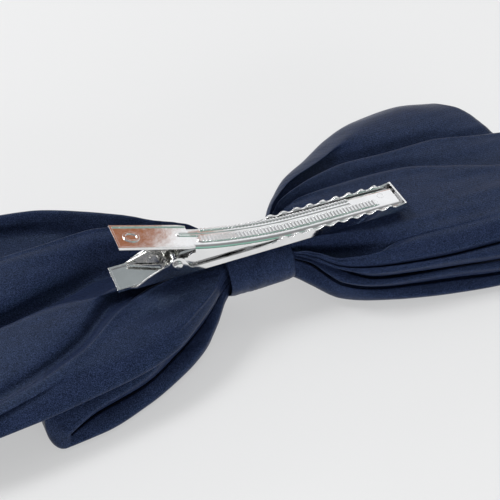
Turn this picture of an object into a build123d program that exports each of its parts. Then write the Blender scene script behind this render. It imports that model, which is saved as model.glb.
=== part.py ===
from build123d import *
import math
import os

# Large satin hair bow on a toothed steel alligator clip.
# The bow lies front side down on z = 0 with the clip on top. X runs along the bow towards the clip's tip,
# and Y runs across it. The origin is under the middle of the bow. Sizes are in millimetres.

# ---- bow ----
BOW_HALF_LENGTH = 100.5
FRONT_HALF_LENGTH = 69.0
LOOP_HALF_WIDTH = 38.0
WAIST_Y = -8.5  # the gathered waist sits off the middle of the loops
WAIST_Z = 13.1
WAIST_HALF_X = 9.3  # half the straight part of each strip under the wrap
STRIP_WAIST_Y = 6.5
STRIP_WAIST_Z = 2.0
STRIP_WAIST_LIFT = 2.15

# middle height of the rear loops, then x, middle y, half width and half thickness of each section
REAR_Z = 15.0
REAR_SECTIONS = [
    (12.0, -7.5, 10.0, 2.2),
    (16.5, -5.5, 17.0, 2.8),
    (25.0, -3.0, 24.0, 3.6),
    (44.0, -1.0, 33.5, 4.6),
    (59.0, 0.0, LOOP_HALF_WIDTH - 0.3, 4.8),
    (73.0, 0.0, LOOP_HALF_WIDTH, 4.8),
    (85.0, -0.5, 33.0, 4.4),
    (94.0, -0.5, 23.0, 3.5),
    (BOW_HALF_LENGTH, -0.5, 9.0, 1.6),
]
# x, middle y, half width, half thickness and middle height of each section of the shorter front loops
FRONT_SECTIONS = [
    (12.0, -7.5, 10.0, 2.0, 10.7),
    (16.5, -6.0, 16.5, 2.7, 9.0),
    (25.0, -4.5, 23.0, 3.7, 7.0),
    (36.0, -3.5, 29.5, 4.6, 5.3),
    (47.0, -3.0, 34.0, 5.0, 4.6),
    (57.0, -3.0, 34.5, 5.0, 4.6),
    (64.5, -3.0, 29.0, 4.4, 4.6),
    (FRONT_HALF_LENGTH, -3.0, 17.0, 2.0, 4.6),
]

# ---- centre wrap, gathering thread and glue ----
WRAP_WIDTH = 18.0
WRAP_HALF_Y = 10.0
WRAP_HALF_Z = 7.0
WRAP_THICK = 1.2
THREAD_RADIUS = 0.4
THREAD_HALF_Y = 8.1
THREAD_HALF_Z = 5.1
THREAD_TURNS = 5
THREAD_PITCH = 0.7
GLUE_LENGTH = 16.0
GLUE_WIDTH = 5.0
GLUE_DEPTH = 2.6

# ---- clip, in its own frame: x = 0 at mid length, z = 0 at the underside ----
CLIP_AT = (2.5, -10.5, 20.5)
CLIP_HALF = 40.0
STEEL = 0.5
TAIL_HALF_Y = 4.2
LOWER_HALF_Y = 4.7
UPPER_HALF_Y = 3.9
UPPER_TAIL_HALF_Y = 4.3
PIN_X = -24.5
PIN_Z = 3.8
PIN_RADIUS = 0.8
PIN_HEAD_RADIUS = 1.35
PIN_HEAD_HEIGHT = 0.7
LOWER_BORE = 0.81
UPPER_BORE = 0.86
LOWER_EAR_RADIUS = 2.35
ARM_RADIUS = 1.5

# lower jaw side flange, which rises from the lever to the pin
FLANGE_START = -35.3
LEVER_END = -36.8
FLANGE_LOW = 1.8
TOOTH_START = 2.3
TOOTH_PITCH = 3.84
TOOTH_COUNT = 9
TOOTH_CREST = 2.95
TOOTH_ROOT = 2.05
LIP_HEIGHT = 2.6

# upper jaw, height of its top face along the clip
UPPER_TOP = [
    (-38.4, 14.2),
    (-29.0, 10.95),
    (-19.4, 7.65),
    (-14.0, 6.05),
    (-7.0, 4.55),
    (0.0, 3.45),
    (6.0, 2.85),
    (14.0, 2.55),
    (30.0, 2.3),
    (38.8, 2.1),
]
UPPER_TIP = 38.8
CHANNEL_START = -19.4
CHANNEL_LOW = 0.95
ROLL_RADIUS = 1.6
RIM_WIDTH = 0.55
RIM_HEIGHT = 0.3
RIDGE_START = -17.0
RIDGE_END = 33.0
RIDGE_Y = -1.3
RIDGE_WIDTH = 2.0
RIDGE_HEIGHT = 0.22
ROW_START = -16.0
ROW_END = 26.0
ROW_Y = 2.45
ROW_WIDTH = 0.7
ROW_HEIGHT = 0.08
KNURL_HEIGHT = 0.28
KNURL_PITCH = 0.95
SLOT_START = -22.0
SLOT_Y = 0.9
SLOT_WIDTH = 0.8
SLOT_DEPTH = 0.25
SLOT_LIP = 0.35
DIMPLE_X = 35.0
DIMPLE_RADIUS = 0.9
EMBOSS_X = -34.2
EMBOSS_LENGTH = 4.2
EMBOSS_WIDTH = 3.6
EMBOSS_HEIGHT = 0.25
UNDER = 0.2  # how far raised details reach down into the sheet

# torsion spring
WIRE_RADIUS = 0.35
COIL_RADIUS = 1.7
COIL_TURNS = 3
COIL_PITCH = 0.85
COIL_Y = 1.35
UPPER_LEG_END = (-36.0, -0.3, 12.3)
LOWER_LEG_END = (-35.2, 3.5, 1.28)


def ellipse_at(x, y, z, half_y, half_z):
    """Ellipse standing across the bow at x."""
    plane = Plane(origin=(x, y, z), x_dir=(0, 1, 0), z_dir=(1, 0, 0))
    return plane * Ellipse(half_y, half_z)


def bow_strip(waist_z, sections):
    """A satin strip folded into a loop on each side of the gathered waist, as one soft body."""
    waist = extrude(
        ellipse_at(-WAIST_HALF_X, WAIST_Y, waist_z, STRIP_WAIST_Y, STRIP_WAIST_Z),
        amount=2 * WAIST_HALF_X,
    )
    first = ellipse_at(WAIST_HALF_X, WAIST_Y, waist_z, STRIP_WAIST_Y, STRIP_WAIST_Z)
    rest = [
        ellipse_at(x, y, z, half_y, half_z) for x, y, half_y, half_z, z in sections
    ]
    loop = loft([first] + rest)
    return waist + loop + mirror(loop, about=Plane.YZ)


def clip_polygon(points, y0, y1):
    """Prism between y0 and y1 on a side profile given in the clip's frame."""
    face = make_face(Polyline(*[(x, 0, z) for x, z in points], close=True))
    solid = extrude(face, amount=y1 - y0, dir=(0, 1, 0))
    return Pos(0, y0, 0) * solid


def clip_cylinder(radius, x, z, y0, y1):
    """Cylinder across the clip."""
    return Pos(x, (y0 + y1) / 2, z) * Rot(90, 0, 0) * Cylinder(radius, y1 - y0)


def upper_z(x):
    """Height of the upper jaw's top face at x."""
    for (xa, za), (xb, zb) in zip(UPPER_TOP, UPPER_TOP[1:]):
        if x <= xb:
            return za + (zb - za) * (x - xa) / (xb - xa)
    return UPPER_TOP[-1][1]


def plan_prism(points):
    """Tall prism on an outline in plan, which trims a bent sheet to its width."""
    return extrude(make_face(Polyline(*points, close=True)), amount=20)


def build_rear_strip():
    return bow_strip(WAIST_Z + STRIP_WAIST_LIFT, [s + (REAR_Z,) for s in REAR_SECTIONS])


def build_front_strip():
    """The front loops are cut flat where they rest."""
    strip = bow_strip(WAIST_Z - STRIP_WAIST_LIFT, FRONT_SECTIONS)
    above = Pos(0, 0, 15) * Box(3 * BOW_HALF_LENGTH, 3 * LOOP_HALF_WIDTH, 30)
    return strip & above


def build_center_wrap():
    x = -WRAP_WIDTH / 2
    outer = ellipse_at(x, WAIST_Y, WAIST_Z, WRAP_HALF_Y, WRAP_HALF_Z)
    inner = ellipse_at(
        x, WAIST_Y, WAIST_Z, WRAP_HALF_Y - WRAP_THICK, WRAP_HALF_Z - WRAP_THICK
    )
    return extrude(outer - inner, amount=WRAP_WIDTH)


def build_gathering_thread():
    """Turns of thread lying side by side round the waist."""
    turns = []
    for i in range(THREAD_TURNS):
        x = (i - (THREAD_TURNS - 1) / 2) * THREAD_PITCH
        plane = Plane(origin=(x, WAIST_Y, WAIST_Z), x_dir=(0, 1, 0), z_dir=(1, 0, 0))
        path = plane * Edge.make_ellipse(THREAD_HALF_Y, THREAD_HALF_Z)
        start = Plane(origin=path @ 0, z_dir=path % 0)
        turns.append(sweep(start * Circle(THREAD_RADIUS), path=path))
    thread = turns[0]
    for turn in turns[1:]:
        thread = thread + turn
    return thread


def build_glue_bed():
    """Hot-melt bed that fills the wedge between the rounded wrap and the flat jaw."""
    top = CLIP_AT[2]
    bed = Pos(0, CLIP_AT[1], top - GLUE_DEPTH / 2) * Box(
        GLUE_LENGTH, GLUE_WIDTH, GLUE_DEPTH
    )
    core = ellipse_at(
        -WRAP_WIDTH, WAIST_Y, WAIST_Z, WRAP_HALF_Y, WRAP_HALF_Z
    )
    return bed - extrude(core, amount=2 * WRAP_WIDTH)


def flange_profile():
    """Side flange of the lower jaw: ear round the pin, low middle and wavy teeth towards the tip."""
    rise = [(FLANGE_START, 0), (FLANGE_START, STEEL), (-31.8, 2.6), (-27.8, 4.3)]
    ear = []
    for i in range(13):
        a = math.radians(160 - i * 13)
        x = PIN_X + LOWER_EAR_RADIUS * math.cos(a)
        ear.append((x, PIN_Z + LOWER_EAR_RADIUS * math.sin(a)))
    middle = [(-21.3, 2.3), (-20.6, FLANGE_LOW), (TOOTH_START - 1.5, FLANGE_LOW)]
    teeth = []
    steps = 8
    for i in range(TOOTH_COUNT * steps + 1):
        swing = (1 - math.cos(2 * math.pi * i / steps)) / 2
        x = TOOTH_START + TOOTH_PITCH * i / steps
        teeth.append((x, TOOTH_ROOT + (TOOTH_CREST - TOOTH_ROOT) * swing))
    end = [(CLIP_HALF, LIP_HEIGHT), (CLIP_HALF, 0)]
    return rise + ear + middle + teeth + end


def build_lower_jaw():
    outline = plan_prism(
        [
            (-CLIP_HALF, -TAIL_HALF_Y),
            (LEVER_END, -TAIL_HALF_Y),
            (FLANGE_START, -LOWER_HALF_Y),
            (CLIP_HALF, -LOWER_HALF_Y),
            (CLIP_HALF, LOWER_HALF_Y),
            (FLANGE_START, LOWER_HALF_Y),
            (LEVER_END, TAIL_HALF_Y),
            (-CLIP_HALF, TAIL_HALF_Y),
        ]
    )
    slab = Pos(0, 0, STEEL / 2) * Box(2 * CLIP_HALF, 2 * LOWER_HALF_Y, STEEL)
    jaw = slab & outline
    profile = flange_profile()
    for side in (-1, 1):
        y0, y1 = sorted((side * (LOWER_HALF_Y - STEEL), side * LOWER_HALF_Y))
        jaw = jaw + (clip_polygon(profile, y0, y1) & outline)
    lip = Pos(CLIP_HALF - STEEL / 2, 0, LIP_HEIGHT / 2) * Box(
        STEEL, 2 * LOWER_HALF_Y, LIP_HEIGHT
    )
    jaw = jaw + lip
    jaw = jaw - clip_cylinder(LOWER_BORE, PIN_X, PIN_Z, -10, 10)
    # stiffening rib and raised edges on the lever
    edge = Box(RIM_WIDTH, 2 * TAIL_HALF_Y, RIM_HEIGHT)
    jaw = jaw + Pos(-CLIP_HALF + RIM_WIDTH / 2, 0, STEEL + RIM_HEIGHT / 2) * edge
    for y in (-TAIL_HALF_Y + RIM_WIDTH / 2, TAIL_HALF_Y - RIM_WIDTH / 2):
        bar = Box(7.2, RIM_WIDTH, RIM_HEIGHT)
        jaw = jaw + Pos(-CLIP_HALF + 3.6, y, STEEL + RIM_HEIGHT / 2) * bar
    return Pos(*CLIP_AT) * jaw


def bent_sheet(points, rise, drop, y0, y1):
    """Sheet that follows the points, from drop below them to rise above them."""
    top = [(x, z + rise) for x, z in points]
    under = [(x, z - drop) for x, z in reversed(points)]
    return clip_polygon(top + under, y0, y1)


def knurled(y, width, start, end, height):
    """Raised band along the upper jaw with a cross rib at every pitch."""
    steps = [(start, height)]
    for i in range(int((end - start) / KNURL_PITCH)):
        x = start + i * KNURL_PITCH
        steps.append((x + KNURL_PITCH * 0.35, height + KNURL_HEIGHT))
        steps.append((x + KNURL_PITCH * 0.65, height + KNURL_HEIGHT))
        steps.append((x + KNURL_PITCH, height))
    steps.append((end, height))
    top = [(x, upper_z(x) + h) for x, h in steps]
    inner = [x for x, _ in UPPER_TOP if start < x < end]
    under = [(x, upper_z(x) - UNDER) for x in [start] + inner + [end]]
    return clip_polygon(top + under[::-1], y - width / 2, y + width / 2)


def along_upper(start, end):
    """Points on the upper jaw's top face from start to end."""
    return [(x, upper_z(x)) for x in [start] + [x for x, _ in UPPER_TOP if start < x < end] + [end]]


def on_upper(x):
    """Plane lying on the upper jaw's top face at x, with its x axis along the clip."""
    slope = (upper_z(x + 0.5) - upper_z(x - 0.5), 1.0)
    return Plane(
        origin=(x, 0, upper_z(x)), x_dir=(slope[1], 0, slope[0]), z_dir=(-slope[0], 0, 1)
    )


def front_block(drop, inset, radius):
    """Block under the curved top of the upper jaw's front part, with both top edges rounded."""
    y = UPPER_HALF_Y - inset
    points = [(x, z - drop) for x, z in UPPER_TOP if x >= CHANNEL_START]
    curve = Spline(*[(x, -y, z) for x, z in points])
    low = -3.0
    sides = Polyline(
        (points[-1][0], -y, points[-1][1]),
        (points[-1][0], -y, low),
        (points[0][0], -y, low),
        (points[0][0], -y, points[0][1]),
    )
    block = extrude(make_face([curve] + sides.edges()), amount=2 * y, dir=(0, 1, 0))
    long_edges = [
        e for e in block.edges() if e.geom_type not in (GeomType.LINE, GeomType.CIRCLE)
    ]
    return fillet(long_edges, radius)


def front_channel():
    """Front part of the upper jaw: a sheet channel whose sides get shallower towards the tip."""
    shell = front_block(0, 0, ROLL_RADIUS) - front_block(
        STEEL, STEEL, ROLL_RADIUS - STEEL
    )
    above = [(-19.4, 2.1), (-14.5, 2.0), (-11.0, 2.4), (-4.0, 2.0), (6.0, 1.3)]
    above = above + [(14.0, CHANNEL_LOW), (UPPER_TIP, CHANNEL_LOW)]
    above = above + [(UPPER_TIP, 12), (-19.4, 12)]
    return shell & clip_polygon(above, -UPPER_HALF_Y, UPPER_HALF_Y)


def pin_arm():
    """Side of the arm that runs back from the channel's wall to the pin."""
    lobe = [(-18.9, 2.1), (-18.9, 5.7), (-20.2, 5.7), (-21.0, 5.3), (-21.4, 4.7)]
    round_pin = []
    for i in range(13):
        a = math.radians(80 + i * 190 / 12)
        x = PIN_X + ARM_RADIUS * math.cos(a)
        round_pin.append((x, PIN_Z + ARM_RADIUS * math.sin(a)))
    return lobe + round_pin + [(-21.4, 2.2)]


def raised(x, y, outline):
    """Flat outline raised on the upper jaw's top face at x."""
    placed = on_upper(x) * (Pos(0, y) * outline)
    return extrude(placed, amount=EMBOSS_HEIGHT) + extrude(placed, amount=-UNDER)


def build_upper_jaw():
    w = UPPER_HALF_Y
    wt = UPPER_TAIL_HALF_Y
    tail = [p for p in UPPER_TOP if p[0] <= CHANNEL_START]
    plate = bent_sheet(tail, 0, STEEL, -wt, wt)
    flat = w - ROLL_RADIUS
    seam = along_upper(CHANNEL_START - 1, CHANNEL_START + 1)
    plate = plate + bent_sheet(seam, -0.05, STEEL, -flat, flat)
    # raised rim round the thumb tab
    for y0, y1 in ((-wt, -wt + RIM_WIDTH), (wt - RIM_WIDTH, wt)):
        plate = plate + bent_sheet(tail, RIM_HEIGHT, UNDER, y0, y1)
    start = tail[0][0]
    plate = plate + bent_sheet(along_upper(start, start + RIM_WIDTH), RIM_HEIGHT, UNDER, -wt, wt)
    outline = plan_prism(
        [
            (-39, -wt),
            (-21.5, -wt),
            (CHANNEL_START, -w),
            (CHANNEL_START + 1, -w),
            (CHANNEL_START + 1, w),
            (CHANNEL_START, w),
            (-21.5, wt),
            (-39, wt),
        ]
    )
    jaw = (plate & outline) + front_channel()
    for y0, y1 in ((-w, -w + STEEL), (w - STEEL, w)):
        jaw = jaw + clip_polygon(pin_arm(), y0, y1)
    jaw = jaw - clip_cylinder(UPPER_BORE, PIN_X, PIN_Z, -10, 10)
    # tip turned down on to the lower jaw
    foot_top = upper_z(UPPER_TIP)
    foot_low = STEEL + 0.03
    foot = Pos(UPPER_TIP - STEEL / 2, 0, (foot_top + foot_low) / 2)
    jaw = jaw + foot * Box(STEEL, 2 * (w - ROLL_RADIUS), foot_top - foot_low)
    # knurled ridge with a round end, and a finer knurled row on the far side
    jaw = jaw + knurled(RIDGE_Y, RIDGE_WIDTH, RIDGE_START, RIDGE_END, RIDGE_HEIGHT)
    jaw = jaw + knurled(ROW_Y, ROW_WIDTH, ROW_START, ROW_END, ROW_HEIGHT)
    jaw = jaw + raised(RIDGE_START, RIDGE_Y, Circle(RIDGE_WIDTH / 2))
    # slot between them, with a raised lip round its start
    groove = along_upper(SLOT_START, ROW_END)
    half = SLOT_WIDTH / 2
    jaw = jaw + raised(SLOT_START, SLOT_Y, Circle(half + SLOT_LIP))
    lips = along_upper(SLOT_START, RIDGE_START)
    jaw = jaw + bent_sheet(lips, EMBOSS_HEIGHT, UNDER, SLOT_Y - half - SLOT_LIP, SLOT_Y + half + SLOT_LIP)
    jaw = jaw - bent_sheet(groove, 1.0, SLOT_DEPTH, SLOT_Y - half, SLOT_Y + half)
    # dimple near the tip
    dimple = on_upper(DIMPLE_X) * (Pos(0, SLOT_Y) * Circle(DIMPLE_RADIUS))
    jaw = jaw - extrude(dimple, amount=-SLOT_DEPTH)
    # oval grip ring on the thumb tab
    oval = Ellipse(EMBOSS_LENGTH / 2, EMBOSS_WIDTH / 2)
    oval = oval - Ellipse(EMBOSS_LENGTH / 2 - 0.6, EMBOSS_WIDTH / 2 - 0.6)
    jaw = jaw + raised(EMBOSS_X, 0, oval)
    return Pos(*CLIP_AT) * jaw


def build_pivot_pin():
    """Rivet with a domed head on each side."""
    half = LOWER_HALF_Y + 0.05
    pin = clip_cylinder(PIN_RADIUS, PIN_X, PIN_Z, -half, half)
    for side in (-1, 1):
        y0, y1 = sorted((side * half, side * (half + PIN_HEAD_HEIGHT)))
        head = clip_cylinder(PIN_HEAD_RADIUS, PIN_X, PIN_Z, y0, y1)
        rim = head.edges().group_by(Axis.Y)[0 if side < 0 else -1]
        pin = pin + fillet(rim, PIN_HEAD_HEIGHT * 0.85)
    return Pos(*CLIP_AT) * pin


def tangent_angle(dx, dz, sign):
    """Angle on the coil where a straight leg to (dx, dz) leaves it: sign -1 over its top, 1 under it."""
    reach = math.hypot(dx, dz)
    return math.degrees(math.atan2(dz, dx) + sign * math.acos(COIL_RADIUS / reach)) % 360


def build_torsion_spring():
    """Coil round the pin with crossed legs: one under the thumb tab, one on the lever's raised edge."""
    a_upper = tangent_angle(UPPER_LEG_END[0] - PIN_X, UPPER_LEG_END[2] - PIN_Z, 1)
    a_lower = tangent_angle(LOWER_LEG_END[0] - PIN_X, LOWER_LEG_END[2] - PIN_Z, -1)
    turns = COIL_TURNS + 1 + (a_lower - a_upper) / 360
    height = turns * COIL_PITCH
    helix = Helix(pitch=COIL_PITCH, height=height, radius=COIL_RADIUS, lefthand=True)
    coil = sweep(
        Plane(origin=helix @ 0, z_dir=helix % 0) * Circle(WIRE_RADIUS), path=helix
    )
    spring = Pos(PIN_X, COIL_Y + height / 2, PIN_Z) * Rot(90, 0, 0) * Rot(0, 0, a_lower) * coil
    legs = (
        (a_lower, COIL_Y + height / 2, LOWER_LEG_END),
        (a_upper, COIL_Y - height / 2, UPPER_LEG_END),
    )
    for angle, y, point in legs:
        a = math.radians(angle)
        start = Vector(
            PIN_X + COIL_RADIUS * math.cos(a), y, PIN_Z + COIL_RADIUS * math.sin(a)
        )
        end = Vector(*point)
        leg = Plane(origin=start, z_dir=end - start) * Circle(WIRE_RADIUS)
        leg = extrude(leg, amount=(end - start).length)
        spring = spring + leg + Pos(*start) * Sphere(WIRE_RADIUS)
        spring = spring + Pos(*end) * Sphere(WIRE_RADIUS)
    return Pos(*CLIP_AT) * spring


PARTS = {
    "rear_strip": build_rear_strip,
    "front_strip": build_front_strip,
    "gathering_thread": build_gathering_thread,
    "center_wrap": build_center_wrap,
    "glue_bed": build_glue_bed,
    "lower_jaw": build_lower_jaw,
    "upper_jaw": build_upper_jaw,
    "pivot_pin": build_pivot_pin,
    "torsion_spring": build_torsion_spring,
}

os.makedirs("parts", exist_ok=True)
for name, build in PARTS.items():
    export_step(build(), f"parts/{name}.step")
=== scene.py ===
import math

import bpy
import numpy as np
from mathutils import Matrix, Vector, noise


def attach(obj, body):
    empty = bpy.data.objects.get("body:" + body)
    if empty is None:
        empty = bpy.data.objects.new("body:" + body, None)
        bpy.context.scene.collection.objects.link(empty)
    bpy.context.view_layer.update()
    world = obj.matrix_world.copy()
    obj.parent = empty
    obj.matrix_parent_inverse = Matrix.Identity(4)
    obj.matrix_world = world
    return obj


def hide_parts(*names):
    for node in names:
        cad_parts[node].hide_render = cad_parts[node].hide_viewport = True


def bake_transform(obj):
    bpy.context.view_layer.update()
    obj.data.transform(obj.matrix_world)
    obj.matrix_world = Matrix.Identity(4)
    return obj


# Visual model of the hair bow: cloth and spring are built here, and the other pieces come from the frame.
# Shapes are worked out in millimetres and turned into metres as each mesh is made.

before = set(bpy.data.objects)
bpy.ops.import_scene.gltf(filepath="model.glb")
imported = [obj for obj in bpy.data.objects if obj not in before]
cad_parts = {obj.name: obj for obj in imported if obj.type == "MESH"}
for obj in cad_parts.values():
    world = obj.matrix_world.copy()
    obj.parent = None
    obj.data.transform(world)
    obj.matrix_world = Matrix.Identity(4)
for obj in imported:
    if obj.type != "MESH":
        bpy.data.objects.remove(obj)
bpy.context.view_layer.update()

MM = 0.001

# ---------------------------------------------------------------- helpers


def smooth(x, knots, values):
    """Cubic curve through the knots that doesn't overshoot them, flat beyond them."""
    k = np.asarray(knots, float)
    v = np.asarray(values, float)
    d = np.diff(v) / np.diff(k)
    m = np.empty(len(k))
    m[0], m[-1] = d[0], d[-1]
    same = d[:-1] * d[1:] > 0
    m[1:-1] = np.where(same, 2 * d[:-1] * d[1:] / np.where(same, d[:-1] + d[1:], 1), 0)
    x = np.clip(x, k[0], k[-1])
    i = np.clip(np.searchsorted(k, x) - 1, 0, len(k) - 2)
    h = k[i + 1] - k[i]
    t = (x - k[i]) / h
    return (
        (2 * t**3 - 3 * t**2 + 1) * v[i]
        + (t**3 - 2 * t**2 + t) * h * m[i]
        + (3 * t**2 - 2 * t**3) * v[i + 1]
        + (t**3 - t**2) * h * m[i + 1]
    )


def across(points, u):
    """Catmull-Rom curve through points (n, count, 2) at u from 0 to n - 1, u shaped (count,)."""
    n = len(points)
    i = np.clip(np.floor(u).astype(int), 0, n - 2)
    t = (u - i)[:, None]
    j = np.arange(points.shape[1])
    p0 = points[np.maximum(i - 1, 0), j]
    p1 = points[i, j]
    p2 = points[i + 1, j]
    p3 = points[np.minimum(i + 2, n - 1), j]
    return 0.5 * (
        2 * p1
        + (p2 - p0) * t
        + (2 * p0 - 5 * p1 + 4 * p2 - p3) * t**2
        + (3 * p1 - p0 - 3 * p2 + p3) * t**3
    )


def mesh_object(name, verts, faces):
    """Smooth shaded mesh from points in metres."""
    mesh = bpy.data.meshes.new(name)
    mesh.from_pydata(verts, [], faces)
    mesh.validate()
    mesh.polygons.foreach_set("use_smooth", [True] * len(mesh.polygons))
    obj = bpy.data.objects.new(name, mesh)
    bpy.context.scene.collection.objects.link(obj)
    return obj


def mesh_from_grid(name, grid, closed=False):
    """Quad mesh from a grid of points in millimetres, (rows, columns, 3)."""
    rows, cols = grid.shape[:2]
    faces = []
    for r in range(rows if closed else rows - 1):
        a, b = r * cols, (r + 1) % rows * cols
        faces += [(a + c, a + c + 1, b + c + 1, b + c) for c in range(cols - 1)]
    return mesh_object(name, (grid.reshape(-1, 3) * MM).tolist(), faces)


def join(name, objs):
    """One object out of several meshes."""
    bpy.ops.object.select_all(action="DESELECT")
    for o in objs:
        o.select_set(True)
    bpy.context.view_layer.objects.active = objs[0]
    bpy.ops.object.join()
    objs[0].name = name
    objs[0].data.name = name
    return objs[0]


# ---------------------------------------------------------------- cloth panels
# A panel is a list of lines that run outwards from the waist, in millimetres. Across them the cloth
# is one smooth curve, so lines close together make a fold or a crease.

WAIST_Y = -8.5
WAIST_Z = 13.1
START_X = 6.0
KNOTS = (6, 10, 14, 20, 28, 38, 50, 65, 80, 104)  # distances from the waist that have a y and a height

# lines beside a base line close up to it near the waist: the least share of dy, and where it grows
NEAR_SHARE, NEAR_FROM, NEAR_LENGTH = 0.25, 4, 30

# noise in the cloth: scale along and across the loop, step in seed, depth
CREASE_NOISE = (0.028, 0.16, 0.0, 0.42)
FINE_NOISE = (0.06, 0.42, 7.3, 0.14)
PLEAT_NOISE = (0.05, 0.75, 3.1, 0.7)
PLEAT_FROM, PLEAT_FADE = 9, 9  # beyond the first distance pleats fade over the second
WRINKLE_FROM, WRINKLE_FADE = 8.0, 4.0  # no wrinkles under the wrap
UNDER_SEED, UNDER_DEPTH = 31, 0.4  # other seed and weaker wrinkles for the lower side of a loop
ROW_CROWDING = 1.25  # above 1, rows crowd together towards the waist


class Line:
    """A line dy beside a base line, with one y and one height for each of KNOTS."""

    def __init__(self, base, dy, *heights):
        self.base = base
        self.dy = dy
        self.heights = heights

    def at(self, x):
        share = np.clip((x - NEAR_FROM) / NEAR_LENGTH, NEAR_SHARE, 1)
        y = smooth(x, KNOTS, self.base) + self.dy * share
        return np.stack([y, smooth(x, KNOTS, self.heights)], axis=-1)


class Panel:
    def __init__(self, *lines):
        self.lines = lines

    def at(self, x, u):
        """Points (count, 2) of y, z at distances x and places u across, from 0 to 1."""
        return across(np.stack([line.at(x) for line in self.lines]), u * (len(self.lines) - 1))


def cloth_noise(kind, x, y, seed):
    along, over, step, depth = kind
    return depth * noise.noise(Vector((x * along, y * over, seed + step)))


def wrinkle(x, y, seed):
    """Soft creases along the loop, with small pleats where the cloth enters the wrap."""
    out = np.zeros(len(x))
    for i, (a, b) in enumerate(zip(x, y)):
        pleat = cloth_noise(PLEAT_NOISE, a, b, seed) * math.exp(-max(0, a - PLEAT_FROM) / PLEAT_FADE)
        out[i] = cloth_noise(CREASE_NOISE, a, b, seed) + cloth_noise(FINE_NOISE, a, b, seed) + pleat
    return out


def loop_mesh(name, side, top, bottom, ends, seed, columns, rows, end_round=0.9):
    """A loop of one strip: out along the top panel, round the end fold, back along the bottom one.

    side is 1 on the right and -1 on the left. rows are the rows of the top, the fold and the bottom.
    """
    u = np.linspace(0, 1, columns)
    end = smooth(u, *zip(*ends))
    n_top, n_fold, n_bottom = rows
    grid = []  # x, y, z and how far each row belongs to the upper side, from 1 to 0
    for k in range(n_top):
        x = START_X + (end - START_X) * (k / (n_top - 1)) ** ROW_CROWDING
        grid.append((x, *top.at(x, u).T, 1.0))
    a = top.at(end, u)
    b = bottom.at(end, u)
    half = np.abs(a[:, 1] - b[:, 1]) / 2
    for k in range(1, n_fold):
        angle = math.pi * k / n_fold
        w = (1 - math.cos(angle)) / 2
        x = end + half * end_round * math.sin(angle)
        grid.append((x, *(a * (1 - w) + b * w).T, 1 - w))
    for k in range(n_bottom):
        x = START_X + (end - START_X) * (1 - k / (n_bottom - 1))
        grid.append((x, *bottom.at(x, u).T, 0.0))
    out = np.zeros((len(grid), columns, 3))
    inner = np.sin(np.pi * np.clip(u * 1.04 - 0.02, 0, 1)) ** 0.5  # no wrinkles at the long edges
    for r, (x, y, z, upper) in enumerate(grid):
        fade = np.clip((x - WRINKLE_FROM) / WRINKLE_FADE, 0, 1) * inner
        lift = wrinkle(x, y, seed + UNDER_SEED * (upper < 0.5)) * fade
        out[r, :, 0] = x * side
        out[r, :, 1] = y
        out[r, :, 2] = z + lift * (1 if upper > 0.5 else UNDER_DEPTH)
    return mesh_from_grid(name, out)


# The y values of the base lines were fitted to the photograph's folds and rounded to half a millimetre.
# right loop of the rear strip, from its far edge to its near one
R_FAR = (-3.5, 3.5, 8.5, 14.5, 19.5, 26, 31, 33, 30.5, 30)
R_RIDGE1 = (-5, -0.5, 3.5, 6.5, 9, 10.5, 10, 10.5, 7.5, 4.5)
R_RIDGE2 = (-7, -3, 0, 2, 2.5, 2.5, 2, -2.5, -7.5, -10)
R_SHOULDER = (-10.5, -12, -13, -14.5, -16.5, -18.5, -20, -20.5, -20.5, -21)
R_ROLL = (-12, -15, -16.5, -21.5, -23, -23.5, -25, -26, -27, -27.5)
R_CREASE_A = (-12.5, -15, -17, -22.5, -25.5, -27.5, -29, -30, -31, -31.5)
R_FRONT1 = (-12.5, -15, -17.5, -23, -27, -29, -30.5, -33, -34, -34.5)
R_CREASE_B = (-12, -12.5, -13.5, -20.5, -25.5, -27.5, -29.5, -32, -33, -33.5)
R_FRONT2 = (-12.5, -14, -16.5, -24, -27, -29, -31, -34, -35, -35.5)
R_CREASE_C = (-12, -13.5, -15.5, -22.5, -25, -27, -29.5, -32.5, -33.5, -34)
R_OUT = (-13, -16, -19, -23.5, -26.5, -29.5, -32.5, -35, -36, -36.5)

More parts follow.
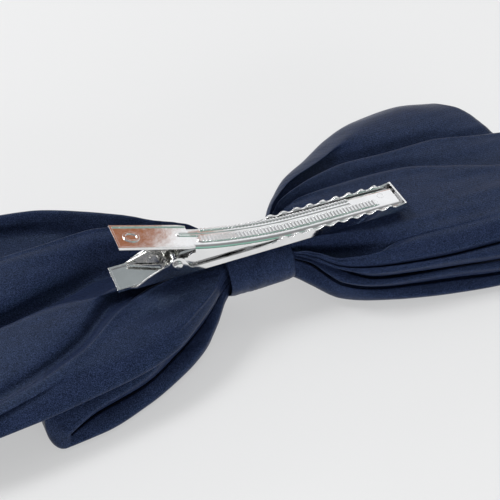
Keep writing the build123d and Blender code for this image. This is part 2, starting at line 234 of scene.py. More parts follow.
right_rear_top = Panel(
    Line(R_FAR, -4, 15, 14.2, 13.4, 12.4, 11.6, 11, 10.8, 10.8, 11, 11),
    Line(R_FAR, -1.2, 15.2, 14.2, 13.2, 12, 11.4, 11.2, 11.2, 11.2, 11.4, 12),
    Line(R_FAR, 0, 15.8, 15.2, 15, 14.8, 14.8, 14.8, 14.8, 14.8, 14.6, 14),
    Line(R_FAR, -2.2, 16.6, 16.8, 17, 17.2, 17.5, 17.7, 17.8, 17.8, 17.2, 16),
    Line(R_FAR, -8.5, 17.2, 17.6, 18.2, 18.8, 19.6, 20.1, 20.3, 20, 19.2, 17),
    Line(R_RIDGE1, 6, 17.2, 17.4, 17.6, 17.9, 18.4, 18.8, 18.8, 18.6, 18.2, 17),
    Line(R_RIDGE1, 1.5, 16.9, 16.4, 15.9, 15.8, 16, 16.3, 16.4, 16.6, 16.8, 16.2),
    Line(R_RIDGE1, 0, 17.8, 18.3, 18.5, 18.9, 19.3, 19.6, 19.6, 19.4, 18.8, 17),
    Line(R_RIDGE1, -2.6, 17.4, 17.7, 17.8, 18.3, 18.9, 19.2, 19.2, 19.1, 18.6, 16.9),
    Line(R_RIDGE2, 1.6, 17.1, 16.4, 16, 16.2, 17, 17.4, 17.4, 17.2, 17, 16.4),
    Line(R_RIDGE2, 0, 18, 18.4, 18.6, 19.1, 19.5, 19.8, 19.7, 19.4, 18.8, 17),
    Line(R_RIDGE2, -4.5, 18, 18.3, 18.5, 19, 19.4, 19.6, 19.5, 19.3, 18.6, 16.9),
    Line(R_SHOULDER, 4, 18.1, 18.6, 18.8, 18.9, 19, 19, 19, 18.8, 18.2, 16.8),
    Line(R_SHOULDER, 0, 17.9, 18.1, 18.1, 18.1, 18.2, 18.2, 18.4, 18.3, 17.8, 16.6),
    Line(R_SHOULDER, -2.8, 17.5, 16.5, 14.6, 13.4, 13.7, 16.9, 18, 18, 17.6, 16.4),
    Line(R_ROLL, 1.8, 17.2, 15.8, 13.4, 11.8, 12.2, 16.6, 17.7, 17.8, 17.4, 16.2),
    Line(R_ROLL, 0, 17.2, 16.9, 16.6, 16.5, 16.4, 17.1, 17.5, 17.5, 17.1, 16),
    Line(R_CREASE_A, 2.2, 17, 16.7, 16.3, 15.9, 15.7, 16.1, 16.5, 16.5, 16.2, 15.4),
    Line(R_CREASE_A, 0.2, 16.9, 16.5, 16, 15.3, 14.8, 14.7, 14.8, 14.8, 14.6, 14.2),
    Line(R_CREASE_A, 1.1, 16.7, 16.1, 15.2, 14.1, 13.2, 12.4, 12.1, 12.2, 12.5, 13.1),
    Line(R_CREASE_A, -0.4, 16.6, 16.1, 15.3, 14.5, 13.9, 13.5, 13.3, 13.2, 13.4, 13.7),
    Line(R_FRONT1, 0, 16.3, 15.7, 14.9, 13.8, 12.9, 12.6, 12.4, 12.2, 12.2, 12.3),
    Line(R_CREASE_B, -0.5, 16, 15.4, 14.8, 12.9, 11, 10.4, 10.1, 9.9, 9.9, 9.9),
    Line(R_CREASE_B, 0.6, 15.8, 15.2, 14.6, 12.7, 10.8, 10.2, 9.9, 9.7, 9.7, 9.7),
    Line(R_CREASE_B, 3.5, 15.6, 15, 14.5, 12.6, 10.8, 10.3, 10.1, 9.9, 9.9, 9.9),
)

# left loop of the rear strip
L_FAR = (-3.5, 3.5, 7.5, 11.5, 17.5, 23.5, 28.5, 31, 32.5, 33)
L_RIDGE1 = (-5.5, -3, -0.5, 4, 8.5, 11, 10, 9.5, 9.5, 10)
L_CREASE = (-7.5, -6, -4.5, -2.5, -0.5, 0.5, -3, -7.5, -9.5, -11)
L_FOLD2 = (-8.5, -9, -9, -9, -10, -11, -10.5, -13, -15, -16)
L_VALLEY = (-10, -10, -10.5, -11, -11.5, -13, -22, -28.5, -31.5, -32)
L_SHEEN = (-11, -11.5, -12.5, -13, -14.5, -18.5, -26.5, -32, -34.5, -34.5)
L_EDGE = (-12.5, -15.5, -20, -25, -30.5, -34, -36, -38, -39, -38.5)
L_CREASE2 = (-13, -15, -18, -22, -26.5, -31.5, -34.5, -38.5, -38.5, -39)
L_OUT = (-13.5, -16.5, -21, -26.5, -31, -35.5, -39, -40, -39.5, -39.5)

left_rear_top = Panel(
    Line(L_FAR, -4, 15, 14.2, 13.4, 12.6, 12, 11.6, 11.4, 11.4, 11.4, 11),
    Line(L_FAR, -0.9, 15.2, 14.4, 13.8, 13.2, 12.8, 12.6, 12.6, 12.6, 12.4, 12),
    Line(L_FAR, 0, 15.8, 15.6, 15.6, 15.6, 15.6, 15.6, 15.6, 15.6, 15, 14),
    Line(L_FAR, -1.6, 16.6, 17.1, 17.3, 17.4, 17.5, 17.5, 17.5, 17.4, 16.8, 16),
    Line(L_FAR, -3.8, 16.7, 16.9, 16.7, 16.5, 16.2, 16, 15.9, 15.9, 15.8, 15.6),
    Line(L_FAR, -6.5, 16.7, 16.5, 15.8, 14.6, 13.4, 12.7, 12.7, 13.2, 14.2, 15.2),
    Line(L_RIDGE1, 4, 16.7, 16.1, 15, 13.2, 11.6, 11, 11.6, 12.6, 13.8, 15.2),
    Line(L_RIDGE1, 1, 16.8, 16.2, 15.2, 13.8, 12.9, 13, 13.8, 14.6, 15.2, 15.6),
    Line(L_RIDGE1, 0, 17.8, 18.2, 18.4, 18.8, 19.3, 19.6, 19.8, 19.8, 19, 17),
    Line(L_RIDGE1, -1.6, 17.8, 18.2, 18.4, 18.7, 19.2, 19.7, 20.1, 20.1, 19.2, 17),
    Line(L_RIDGE1, -4.5, 17.6, 17.9, 18.1, 18.3, 18.4, 18.8, 19.5, 19.8, 19, 17),
    Line(L_CREASE, 4, 17.4, 17.4, 17.1, 16.1, 15.1, 15.4, 17, 18, 17.8, 16.6),
    Line(L_CREASE, 1.6, 17, 16.7, 15.9, 14.2, 12.6, 12.2, 13.3, 14.6, 15.2, 15.4),
    Line(L_CREASE, 0, 16.8, 16.3, 15.2, 13.3, 11.9, 11.3, 11.8, 12.8, 13.8, 14.8),
    Line(L_CREASE, -1.2, 16.9, 16.5, 15.7, 14, 12.5, 11.8, 12.4, 13.4, 14.2, 14.8),
    Line(L_FOLD2, 3, 17.3, 17.2, 16.8, 15.9, 14.7, 14.3, 14.9, 15.4, 15.4, 15.2),
    Line(L_FOLD2, 0, 17.6, 17.9, 17.9, 17.8, 17.5, 17.4, 17.4, 17.1, 16.4, 15.6),
    Line(L_VALLEY, 3.4, 17.5, 17.7, 17.6, 17.4, 17.2, 17.1, 17.1, 16.5, 15.8, 15.2),
    Line(L_VALLEY, 0, 17.4, 17.3, 17, 16.5, 15.5, 14.5, 15, 15, 14.7, 14.6),
    Line(L_SHEEN, 1.4, 17.4, 17.7, 17.9, 18, 18, 17.2, 16.2, 15.3, 14.8, 14.6),
    Line(L_SHEEN, 0, 17.4, 17.8, 18.1, 18.5, 18.8, 18.4, 17.4, 16.5, 15.9, 15),
    Line(L_SHEEN, -2.6, 17.2, 17.6, 17.9, 18.2, 18.2, 17.8, 17, 16.2, 15.6, 14.8),
    Line(L_EDGE, 4.2, 17, 17.2, 17.2, 17.2, 17, 16.8, 16.4, 15.8, 15.2, 14.6),
    Line(L_EDGE, 1.4, 16.4, 16.2, 16, 15.8, 15.5, 15.2, 14.9, 14.6, 14.2, 13.8),
    Line(L_EDGE, -0.5, 15.6, 14.9, 14.4, 13.8, 13.2, 12.9, 12.7, 12.6, 12.6, 12.6),
    Line(L_EDGE, 0.2, 15.2, 14.2, 13.5, 12.8, 12.1, 11.7, 11.5, 11.4, 11.4, 11.6),
    Line(L_EDGE, 3.5, 15, 14.2, 13.5, 12.8, 12.1, 11.8, 11.6, 11.5, 11.5, 11.6),
)

REAR_UNDER_Z = (14, 13.8, 13.4, 12.4, 11.2, 10.6, 10.3, 10.2, 10.3, 10.6)
REAR_UNDER_LINES = 9
REAR_COLUMNS, REAR_ROWS = 300, (150, 22, 70)
FRONT_COLUMNS, FRONT_ROWS = 200, (100, 16, 100)


def under_panel(far, near):
    """The hidden lower panel of a rear loop, set in a little from its two edge lines."""
    margin = np.clip((np.array(KNOTS) - KNOTS[0]) * 0.2, 0.6, 3.5)
    a = np.array(far) - margin
    b = np.array(near) + margin
    return Panel(
        *(Line(a * (1 - w) + b * w, 0, *REAR_UNDER_Z) for w in np.linspace(0, 1, REAR_UNDER_LINES))
    )


# where each loop folds back: place across, from the far edge at 0 to the near one at 1, and distance
RIGHT_REAR_ENDS = (
    (0, 68), (0.07, 72), (0.1, 75.5), (0.14, 78), (0.18, 82), (0.24, 85.5),
    (0.3, 88), (0.4, 91.5), (0.55, 95), (0.7, 95), (0.85, 90), (1, 80),
)
LEFT_REAR_ENDS = (
    (0, 73), (0.06, 76), (0.15, 84), (0.3, 90), (0.45, 94), (0.6, 96), (0.75, 95), (0.9, 89), (1, 80),
)

right_rear_under = under_panel(R_FAR, R_CREASE_B)
left_rear_under = under_panel(L_FAR, L_EDGE)
rear_right = loop_mesh(
    "rear_right", 1, right_rear_top, right_rear_under, RIGHT_REAR_ENDS, 3.0, REAR_COLUMNS, REAR_ROWS
)
rear_left = loop_mesh(
    "rear_left", -1, left_rear_top, left_rear_under, LEFT_REAR_ENDS, 11.0, REAR_COLUMNS, REAR_ROWS
)

# front strip, whose rolled near edges show below the rear one
F_FAR = (-4, 0.5, 6, 12, 17, 21, 24.5, 26.5, 27, 27)

right_front_top = Panel(
    Line(F_FAR, -3.5, 13.6, 12.6, 11, 9.2, 8, 7.6, 7.4, 7.3, 7, 7),
    Line(F_FAR, 0, 14.4, 13.8, 12.4, 10.4, 9.2, 8.7, 8.5, 8.4, 8, 8),
    Line(F_FAR, -3, 14.6, 14.4, 13, 11.2, 10, 9.6, 9.4, 9.2, 9, 9),
    Line(F_FAR, -14, 14.8, 14.6, 13.4, 11.6, 10.2, 9.7, 9.4, 9.2, 9, 9),
    Line(R_CREASE_B, 14, 15, 14.8, 14, 12, 10.2, 9.6, 9.3, 9.1, 9, 9),
    Line(R_CREASE_B, 3, 15, 14.4, 13.4, 11.2, 9.3, 8.7, 8.4, 8.2, 8.2, 8.2),
    Line(R_CREASE_B, 1, 15, 14.3, 13.3, 11.1, 9.2, 8.6, 8.3, 8.1, 8.1, 8.1),
    Line(R_CREASE_B, -0.6, 15.1, 14.6, 13.8, 11.8, 9.9, 9.3, 9, 8.8, 8.8, 8.8),
    Line(R_FRONT2, 0, 14.8, 14.1, 12.9, 10.5, 8.7, 8.1, 7.8, 7.6, 7.5, 7.5),
    Line(R_CREASE_C, -0.6, 14.4, 13.6, 12.2, 9.1, 6.7, 5.8, 5.5, 5.3, 5.3, 5.3),
    Line(R_CREASE_C, 0.6, 14.2, 13.4, 12, 8.9, 6.5, 5.6, 5.3, 5.1, 5.1, 5.1),
    Line(R_CREASE_C, 3.5, 14, 13.2, 11.8, 8.8, 6.5, 5.7, 5.4, 5.2, 5.2, 5.2),
)
right_front_under = Panel(
    Line(F_FAR, -3.5, 12.6, 12, 10, 8, 6.8, 6.4, 6.2, 6, 6, 6),
    Line(F_FAR, -0.8, 12.4, 11.6, 9.6, 7.6, 6.2, 5.8, 5.6, 5.4, 5.4, 5.4),
    Line(F_FAR, 0, 11, 10, 8, 5.6, 4, 3.4, 3.3, 3.2, 3.2, 3.2),
    Line(F_FAR, -3, 9, 8, 6, 3, 1.2, 0.6, 0.5, 0.5, 0.6, 0.6),
    Line(F_FAR, -12, 8.8, 7.8, 5.6, 2.4, 0.8, 0.4, 0.4, 0.4, 0.5, 0.6),
    Line(R_OUT, 14, 8.8, 7.8, 5.6, 2.4, 0.8, 0.4, 0.4, 0.4, 0.5, 0.6),
    Line(R_OUT, 5, 8.8, 7.8, 5.6, 2.4, 0.8, 0.4, 0.4, 0.4, 0.5, 0.6),
    Line(R_OUT, 1.4, 9, 8, 5.9, 2.9, 1.2, 0.7, 0.6, 0.6, 0.7, 0.8),
    Line(R_OUT, 0, 10.6, 9.6, 8, 5.2, 3.3, 2.6, 2.4, 2.3, 2.3, 2.4),
    Line(R_CREASE_C, -0.8, 13.4, 12.5, 10.8, 7.6, 5.2, 4.4, 4.1, 3.9, 3.9, 3.9),
    Line(R_CREASE_C, 0.6, 13.4, 12.5, 10.9, 7.7, 5.2, 4.3, 4, 3.8, 3.8, 3.8),
    Line(R_CREASE_C, 3.5, 13.4, 12.5, 10.9, 7.7, 5.2, 4.3, 4, 3.8, 3.8, 3.8),
)
left_front_top = Panel(
    Line(F_FAR, -3.5, 13.6, 12.6, 11, 9.2, 8.2, 7.7, 7.5, 7.3, 7, 7),
    Line(F_FAR, 0, 14, 13.4, 12, 10.4, 9.6, 9.1, 8.9, 8.7, 8, 8),
    Line(F_FAR, -3, 14.2, 14, 12.8, 11.4, 10.6, 10.1, 9.8, 9.6, 9, 9),
    Line(F_FAR, -14, 14.4, 14, 13, 11.8, 10.8, 10.2, 9.8, 9.6, 9, 9),
    Line(L_EDGE, 14, 14.4, 13.8, 12.6, 11.4, 10.6, 10.2, 9.8, 9.4, 9, 9),
    Line(L_EDGE, 4, 14, 13, 12.1, 11.2, 10.5, 10.1, 9.8, 9, 8.4, 8.4),
    Line(L_EDGE, 2.2, 13.8, 12.7, 11.8, 10.9, 10.2, 9.8, 9.5, 8.6, 7.8, 7.8),
    Line(L_CREASE2, -1.7, 13.6, 12, 10.8, 9.6, 8.7, 8.3, 7.6, 3.6, 2.4, 2.4),
    Line(L_CREASE2, -1.2, 13.3, 11.5, 9.9, 8, 6.6, 6.1, 5.6, 2.3, 1.7, 1.7),
    Line(L_CREASE2, -0.2, 13.2, 11.3, 9.4, 7.2, 5.6, 5, 4.7, 2.3, 1.6, 1.6),
    Line(L_CREASE2, 1.8, 13.2, 11.3, 9.4, 7.2, 5.6, 5, 4.7, 2.4, 1.7, 1.7),
    Line(L_CREASE2, 5, 13.2, 11.3, 9.4, 7.2, 5.6, 5, 4.7, 2.8, 2.2, 2.2),
)
left_front_under = Panel(
    Line(F_FAR, -3.5, 12.6, 12, 10, 8, 6.8, 6.4, 6.2, 6, 6, 6),
    Line(F_FAR, -0.8, 12.4, 11.6, 9.6, 7.6, 6.2, 5.8, 5.6, 5.4, 5.4, 5.4),
    Line(F_FAR, 0, 11, 10, 8, 5.6, 4, 3.4, 3.3, 3.2, 3.2, 3.2),
    Line(F_FAR, -3, 9, 8, 6, 3, 1.2, 0.6, 0.5, 0.5, 0.6, 0.6),
    Line(F_FAR, -12, 8.8, 7.8, 5.6, 2.4, 0.8, 0.4, 0.4, 0.4, 0.5, 0.6),
    Line(L_OUT, 14, 8.8, 7.8, 5.6, 2.4, 0.8, 0.4, 0.4, 0.4, 0.5, 0.6),
    Line(L_OUT, 6, 8.8, 7.8, 5.4, 2.2, 0.8, 0.4, 0.4, 0.4, 0.5, 0.6),
    Line(L_OUT, 1.2, 9, 7.8, 5.4, 2.4, 0.9, 0.5, 0.4, 0.4, 0.5, 0.6),
    Line(L_OUT, 0, 9.8, 8.4, 6.2, 3.6, 2.2, 1.8, 1.6, 1.5, 1.4, 1.4),
    Line(L_OUT, 1.2, 11, 9.6, 7.6, 5.2, 3.8, 3.3, 3.1, 2.1, 1.4, 1.4),
    Line(L_CREASE2, -0.9, 12.5, 10.6, 8.6, 6.1, 4.6, 4.1, 3.9, 2.1, 1.4, 1.4),
    Line(L_CREASE2, 0.3, 12.6, 10.7, 8.6, 6, 4.3, 3.7, 3.4, 2, 1.4, 1.4),
    Line(L_CREASE2, 1.8, 12.6, 10.7, 8.6, 6, 4.3, 3.7, 3.4, 2, 1.4, 1.4),
    Line(L_CREASE2, 5, 12.6, 10.7, 8.6, 6, 4.3, 3.7, 3.4, 2, 1.4, 1.4),
)

RIGHT_FRONT_ENDS = ((0, 58), (0.1, 62), (0.3, 66), (0.6, 67), (0.85, 66), (1, 64))
LEFT_FRONT_ENDS = (
    (0, 55), (0.1, 59), (0.3, 62), (0.5, 61.5), (0.6, 59), (0.7, 57.6), (0.85, 58.2), (1, 58.5),
)
LEFT_FRONT_ROUND = 0.35  # its end is pressed flatter than the others

front_right = loop_mesh(
    "front_right", 1, right_front_top, right_front_under, RIGHT_FRONT_ENDS, 21.0, FRONT_COLUMNS, FRONT_ROWS
)
front_left = loop_mesh(
    "front_left", -1, left_front_top, left_front_under, LEFT_FRONT_ENDS, 37.0, FRONT_COLUMNS, FRONT_ROWS,
    LEFT_FRONT_ROUND,
)

rear = join("rear_strip_cloth", [rear_right, rear_left])
front = join("front_strip_cloth", [front_right, front_left])

# ---------------------------------------------------------------- centre wrap
WRAP_X, WRAP_Y, WRAP_Z = 9.0, 9.9, 6.9  # half width of the band, and the half sizes of its oval
HEM = 0.12  # share of the band's width turned under at each long edge
HEM_WIDTH, HEM_DEPTH = 2.0, 0.9
WRAP_SWELL = 0.12  # rise of the middle
WRAP_EDGE_DIP = 0.25
WRAP_NOISE = ((0.28, 2.2, 0, 0.22), (1.1, 1.5, 9, 0.10))  # scale along, scale round, shift, depth


def wrap_mesh():
    """The band round the waist, with its long edges turned under."""
    rows, cols = 220, 60
    grid = np.zeros((rows, cols, 3))
    for r in range(rows):
        a = 2 * math.pi * r / rows
        for c in range(cols):
            t = c / (cols - 1)
            hem = max(HEM - t, t - (1 - HEM)) / HEM
            if hem > 0:
                x = math.copysign(WRAP_X - HEM_WIDTH * hem**2, t - 0.5)
                d = -HEM_DEPTH * math.sin(hem * math.pi / 2)
            else:
                k = (t - HEM) / (1 - 2 * HEM)
                x = WRAP_X * (2 * k - 1)
                d = WRAP_SWELL * math.sin(k * math.pi) ** 0.5
            for along, girth, shift, depth in WRAP_NOISE:
                place = Vector((x * along, girth * math.cos(a), girth * math.sin(a) + shift))
                d += depth * noise.noise(place)
            d -= WRAP_EDGE_DIP * (abs(x) / WRAP_X) ** 6
            grid[r, c] = (x, WAIST_Y + (WRAP_Y + d) * math.cos(a), WAIST_Z + (WRAP_Z + d) * math.sin(a))
    return mesh_from_grid("center_wrap_cloth", grid, closed=True)


wrap = wrap_mesh()

# ---------------------------------------------------------------- torsion spring
CLIP_AT = np.array([2.5, -10.5, 20.5])  # the clip's own origin
PIN_X, PIN_Z = -24.5, 3.8
WIRE_RADIUS = 0.35
WIRE_SIDES = 14
COIL_RADIUS = 1.7
COIL_Y = 1.35
COIL_TURNS = 3
COIL_PITCH = 0.85
COIL_STEPS = 220
UPPER_LEG_END = (-36.0, -0.3, 12.3)
LOWER_LEG_END = (-35.2, 3.5, 1.28)
UPPER_LEG_STEPS, LOWER_LEG_STEPS = 30, 24


def tube(name, path, radius, sides):
    """Round wire along a path in millimetres, closed at both ends."""
    ahead = np.gradient(path, axis=0)
    ahead /= np.linalg.norm(ahead, axis=1)[:, None]
    side = np.cross(ahead[0], (0.0, 1.0, 0.0))
    verts, faces = [], []
    for point, t in zip(path, ahead):
        side -= t * (side @ t)
        side /= np.linalg.norm(side)
        other = np.cross(t, side)
        for i in range(sides):
            a = 2 * math.pi * i / sides
            verts.append(tuple((point + radius * (math.cos(a) * side + math.sin(a) * other)) * MM))
    for r in range(len(path) - 1):
        for i in range(sides):
            j = (i + 1) % sides
            faces.append((r * sides + i, r * sides + j, (r + 1) * sides + j, (r + 1) * sides + i))
    faces.append(tuple(reversed(range(sides))))
    faces.append(tuple((len(path) - 1) * sides + i for i in range(sides)))
    return mesh_object(name, verts, faces)


def tangent_angle(leg_end, sign):
    """Angle on the coil where a straight leg leaves it."""
    dx, dz = leg_end[0] - PIN_X, leg_end[2] - PIN_Z
    return (math.atan2(dz, dx) + sign * math.acos(COIL_RADIUS / math.hypot(dx, dz))) % (2 * math.pi)


def spring_mesh():
    """Lower leg, coil and upper leg as one wire."""
    upper = tangent_angle(UPPER_LEG_END, 1)
    lower = tangent_angle(LOWER_LEG_END, -1)
    sweep = 2 * math.pi * (COIL_TURNS + 1) + lower - upper
    half = sweep / (2 * math.pi) * COIL_PITCH / 2
    t = np.linspace(0, 1, COIL_STEPS + 1)
    a = lower - sweep * t
    coil = np.stack(
        [PIN_X + COIL_RADIUS * np.cos(a), COIL_Y + half * (1 - 2 * t), PIN_Z + COIL_RADIUS * np.sin(a)],
        axis=-1,
    )
    lower_leg = np.linspace(LOWER_LEG_END, coil[0], LOWER_LEG_STEPS)[:-1]
    upper_leg = np.linspace(coil[-1], UPPER_LEG_END, UPPER_LEG_STEPS)[1:]
    path = np.concatenate([lower_leg, coil, upper_leg]) + CLIP_AT
    return tube("torsion_spring_wire", path, WIRE_RADIUS, WIRE_SIDES)


spring = spring_mesh()

# ---------------------------------------------------------------- materials


class Nodes:
    """Short way to build the nodes of a material or a world round its shader."""

    def __init__(self, owner, shader="Principled BSDF", **values):
        owner.use_nodes = True
        self.owner = owner
        self.tree = owner.node_tree
        self.shader = self.tree.nodes[shader]
        for key, value in values.items():
            self.shader.inputs[key.replace("_", " ")].default_value = value

    def add(self, kind, inputs=None, **attributes):
        node = self.tree.nodes.new(kind)
        for key, value in attributes.items():
            setattr(node, key, value)
        for key, value in (inputs or {}).items():
            if hasattr(value, "is_output"):
                self.tree.links.new(value, node.inputs[key])
            else:
                node.inputs[key].default_value = value
        return node

    def link(self, output, name):
        self.tree.links.new(output, self.shader.inputs[name])

    def noise(self, vector, scale, detail, roughness=0.5):
        inputs = {"Vector": vector, "Scale": scale, "Detail": detail, "Roughness": roughness}
        return self.add("ShaderNodeTexNoise", inputs).outputs["Fac"]

    def calc(self, operation, *values):
        return self.add("ShaderNodeMath", dict(enumerate(values)), operation=operation).outputs[0]

    def map_range(self, value, from_range, to_range=(0.0, 1.0), kind="LINEAR"):
        inputs = {"Value": value}
        inputs["From Min"], inputs["From Max"] = from_range
        inputs["To Min"], inputs["To Max"] = to_range
        return self.add("ShaderNodeMapRange", inputs, interpolation_type=kind).outputs["Result"]

    def bump(self, height, strength, distance, **under):
        inputs = {"Height": height, "Strength": strength, "Distance": distance, **under}
        return self.add("ShaderNodeBump", inputs).outputs["Normal"]

    def ramp(self, fac, stops):
        node = self.add("ShaderNodeValToRGB", {"Fac": fac})
        elements = node.color_ramp.elements
        while len(elements) < len(stops):
            elements.new(0.5)
        for element, (place, colour) in zip(elements, stops):
            element.position = place
            element.color = (*colour, 1)
        return node.outputs["Color"]


# noise scales, in cells per metre
SATIN_GRAIN, SATIN_PATCH, SATIN_TWILL = 5200.0, 260.0, 520.0
STEEL_FINE, STEEL_BROAD = 900.0, 140.0
SATIN_PATCH_SHARE = 0.08
SATIN_ROUGH = (0.29, 0.41)
SATIN_COLOURS = (
    (0.36, (0.0025, 0.0045, 0.0125)),
    (0.5, (0.0105, 0.0165, 0.0415)),
    (0.64, (0.031, 0.046, 0.105)),
)


def satin_material():
    m = Nodes(
        bpy.data.materials.new("satin"),
        Specular_IOR_Level=0.2,
        Specular_Tint=(0.5, 0.7, 1, 1),
        Sheen_Weight=0.02,
        Sheen_Roughness=0.3,
        Sheen_Tint=(0.25, 0.4, 1, 1),
    )
    coord = m.add("ShaderNodeTexCoord").outputs["Object"]
    grain = m.noise(coord, SATIN_GRAIN, 1.5, 0.6)
    patch = m.noise(coord, SATIN_PATCH, 2.0)
    most = m.calc("MULTIPLY", grain, 1 - SATIN_PATCH_SHARE)
    fleck = m.calc("MULTIPLY_ADD", patch, SATIN_PATCH_SHARE, most)
    m.link(m.ramp(fleck, SATIN_COLOURS), "Base Color")
    m.link(m.map_range(grain, (0.3, 0.7), SATIN_ROUGH), "Roughness")
    twill = m.add(
        "ShaderNodeTexWave",
        {"Vector": coord, "Scale": SATIN_TWILL, "Distortion": 1.2, "Detail": 1.0},
        wave_type="BANDS",
        bands_direction="DIAGONAL",
    )
    weave = m.calc("MULTIPLY_ADD", twill.outputs["Fac"], 0.35, grain)
    m.link(m.bump(weave, 0.35, 0.00012), "Normal")
    return m.owner


def steel_material(name, colour, rough, scratch):
    """Metal with fine scratches, a faint waviness and slightly rounded edges."""
    m = Nodes(bpy.data.materials.new(name), Metallic=1.0, Roughness=rough)
    coord = m.add("ShaderNodeTexCoord").outputs["Object"]
    fine = m.noise(coord, STEEL_FINE, 4.0, 0.6)
    broad = m.noise(coord, STEEL_BROAD, 2.0)
    m.link(m.ramp(broad, [(0.3, tuple(c * 0.9 for c in colour)), (0.7, colour)]), "Base Color")
    m.link(m.map_range(fine, (0.3, 0.75), (rough * 0.7, rough * 1.8)), "Roughness")
    edge = m.add("ShaderNodeBevel", {"Radius": 0.00014}, samples=6)
    wavy = m.bump(broad, 1.0, 0.00005, Normal=edge.outputs["Normal"])
    m.link(m.bump(fine, scratch, 0.00005, Normal=wavy), "Normal")
    return m.owner


def plain_noise(name, a, b, rough, scale, **values):
    """Plain material that varies from colour a to colour b."""
    m = Nodes(bpy.data.materials.new(name), Roughness=rough, **values)
    cloud = m.noise(m.add("ShaderNodeTexCoord").outputs["Object"], scale, 3.0)
    m.link(m.ramp(cloud, [(0.3, a), (0.7, b)]), "Base Color")
    m.link(m.bump(cloud, 0.3, 0.0001), "Normal")
    return m.owner


satin = satin_material()
plate = steel_material("plated_steel", (0.9, 0.9, 0.9), rough=0.07, scratch=0.12)
wire = steel_material("spring_steel", (0.72, 0.71, 0.68), rough=0.2, scratch=0.2)
thread = plain_noise("thread", (0.012, 0.015, 0.04), (0.022, 0.028, 0.07), rough=0.8, scale=1500.0)
glue = plain_noise(
    "glue", (0.8, 0.76, 0.66), (0.9, 0.87, 0.8), rough=0.25, scale=300.0, Transmission_Weight=0.5
)


def paint(obj, material):
    obj.data.materials.clear()
    obj.data.materials.append(material)


for obj in (rear, front, wrap):
    paint(obj, satin)
    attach(obj, "bow_body")
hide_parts("rear_strip")
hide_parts("front_strip")
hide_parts("center_wrap")
paint(spring, wire)
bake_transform(spring)
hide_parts("torsion_spring")
for name, material, slot in (
    ("lower_jaw", plate, "plated_steel"),
    ("upper_jaw", plate, "plated_steel"),
    ("pivot_pin", plate, "plated_steel"),
    ("gathering_thread", thread, "thread"),
    ("glue_bed", glue, "glue"),
):
    paint(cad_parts[name], material)

# ---------------------------------------------------------------- floor and world
FLOOR_SIZE = 6
FLOOR_GLOW = 0.435  # with the grey below, this keeps the floor pale beside the dark cloth

bpy.ops.mesh.primitive_plane_add(size=FLOOR_SIZE, location=(0, 0, 0))
floor = bpy.context.object
floor.name = "floor"
floor_nodes = Nodes(
    bpy.data.materials.new("floor"),
    Roughness=0.7,
    Base_Color=(0.36, 0.36, 0.362, 1),
    Emission_Color=(1, 1, 1, 1),
    Emission_Strength=FLOOR_GLOW,
)
floor.data.materials.append(floor_nodes.owner)


def room_direction(azimuth, elevation):
    a, e = math.radians(azimuth), math.radians(elevation)
    return (math.cos(a) * math.cos(e), math.sin(a) * math.cos(e), math.sin(e))


# One broad bright wall behind the bow, the rest of the room dimmer, with a dark band low down all round.
WALL = room_direction(62, 34)
WALL_EDGE, WALL_LEVELS = (0.45, 0.82), (0.27, 1.0)
BAND_EDGE, BAND_LEVELS = (0.06, 0.24), (0.22, 1.0)
ROOM_COLOUR = (0.97, 0.98, 1.0, 1)
# Coloured patches that the plated steel mirrors, tuned for the view of the scene's own camera:
# direction, width in degrees, colour.
ROOM_PATCHES = (
    (room_direction(57, 25.5), 6.5, (0.36, 0.14, 0.07, 1)),
    (room_direction(78, 45), 9.0, (0.3, 0.33, 0.34, 1)),
    (room_direction(-52, 12), 22.0, (1.0, 1.8, 1.5, 1)),
    (room_direction(55, 62), 9.0, (0.22, 0.36, 0.32, 1)),
)
PATCH_CORE = 0.72  # share of a patch's width that has its full colour
MIX_FACTOR, MIX_A, MIX_B, MIX_RESULT = 0, 6, 7, 2  # sockets of a colour mix node

world = bpy.data.worlds.new("studio")
bpy.context.scene.world = world
room = Nodes(world, "Background")
direction = room.add("ShaderNodeTexCoord").outputs["Generated"]
height = room.add("ShaderNodeSeparateXYZ", {"Vector": direction}).outputs["Z"]


def towards(aim):
    """How far a direction in the room agrees with aim, as a cosine."""
    dot = room.add("ShaderNodeVectorMath", {0: direction, 1: aim}, operation="DOT_PRODUCT")
    return dot.outputs["Value"]


level = room.map_range(towards(WALL), WALL_EDGE, WALL_LEVELS, "SMOOTHSTEP")
band = room.map_range(height, BAND_EDGE, BAND_LEVELS, "SMOOTHSTEP")
room.link(room.calc("MULTIPLY", level, band), "Strength")

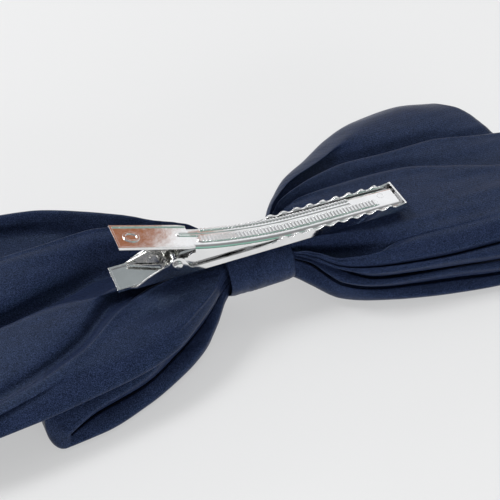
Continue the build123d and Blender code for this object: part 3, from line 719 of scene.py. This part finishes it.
room_colour = ROOM_COLOUR
for aim, width, colour in ROOM_PATCHES:
    edge = (math.cos(math.radians(width)), math.cos(math.radians(width * PATCH_CORE)))
    amount = room.map_range(towards(aim), edge, kind="SMOOTHSTEP")
    mix = room.add(
        "ShaderNodeMix", {MIX_FACTOR: amount, MIX_A: room_colour, MIX_B: colour}, data_type="RGBA"
    )
    room_colour = mix.outputs[MIX_RESULT]
room.link(room_colour, "Color")

# ---------------------------------------------------------------- lights and camera


def area_light(name, place, size, energy):
    """Rectangular light of energy watts, aimed at the bow."""
    data = bpy.data.lights.new(name, "AREA")
    data.shape = "RECTANGLE"
    data.size, data.size_y = size
    data.energy = energy
    light = bpy.data.objects.new(name, data)
    light.location = place
    light.rotation_mode = "QUATERNION"
    light.rotation_quaternion = (-Vector(place)).to_track_quat("-Z", "Y")
    bpy.context.scene.collection.objects.link(light)
    return light


area_light("key", (-1.15, 0.8, 1.9), size=(0.8, 0.6), energy=32.0)
area_light("rim", (-1.3, 2.2, 0.95), size=(1.4, 0.35), energy=12.0)
fill = area_light("fill", (0.1, -1.6, 0.3), size=(1.6, 0.4), energy=19.0)
fill.visible_glossy = False  # left out of reflections, where it greys the clip's near side

CAMERA_AT = (-0.0699, -0.17362, 0.18584)
CAMERA_AZIMUTH, CAMERA_ELEVATION = math.radians(-22.96), math.radians(43.52)
SENSOR = 36
FOCAL_SHARE = 1.8802  # focal length over the picture's width

camera_data = bpy.data.cameras.new("camera")
camera_data.sensor_width = SENSOR
camera_data.lens = FOCAL_SHARE * SENSOR
camera_data.clip_start = 0.005
camera = bpy.data.objects.new("camera", camera_data)
camera.location = CAMERA_AT
camera.rotation_mode = "QUATERNION"
view_direction = Vector((
    -math.sin(CAMERA_AZIMUTH) * math.cos(CAMERA_ELEVATION),
    math.cos(CAMERA_AZIMUTH) * math.cos(CAMERA_ELEVATION),
    -math.sin(CAMERA_ELEVATION),
))
camera.rotation_quaternion = view_direction.to_track_quat("-Z", "Y")
bpy.context.scene.collection.objects.link(camera)
bpy.context.scene.camera = camera

bpy.context.scene.view_settings.view_transform = "Standard"
